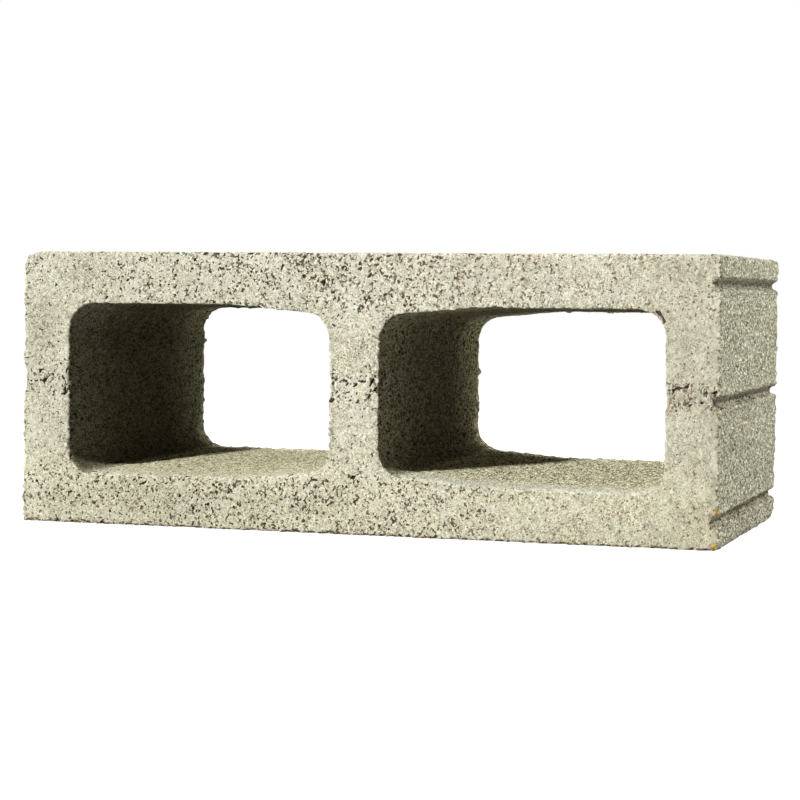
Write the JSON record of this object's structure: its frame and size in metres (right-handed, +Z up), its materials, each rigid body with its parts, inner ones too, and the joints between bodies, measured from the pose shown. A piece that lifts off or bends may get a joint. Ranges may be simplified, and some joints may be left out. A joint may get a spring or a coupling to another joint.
{
  "type": "hollow concrete block",
  "caption": "Hollow concrete masonry block with tapered cores, lying on its face shell, with grooves down one end.",
  "frame": {"origin": "middle of the face shell that the block lies on, at the level of the floor", "axes": "+X along the block's length, toward the grooved end; +Y along the cores, toward their narrow mouths; +Z up"},
  "size_m": [0.39, 0.19, 0.15],
  "materials": {
    "concrete": "rough, open-textured grey-buff concrete"
  },
  "bodies": {
    "root": {"concrete_block": "concrete"}
  },
  "joints": []
}
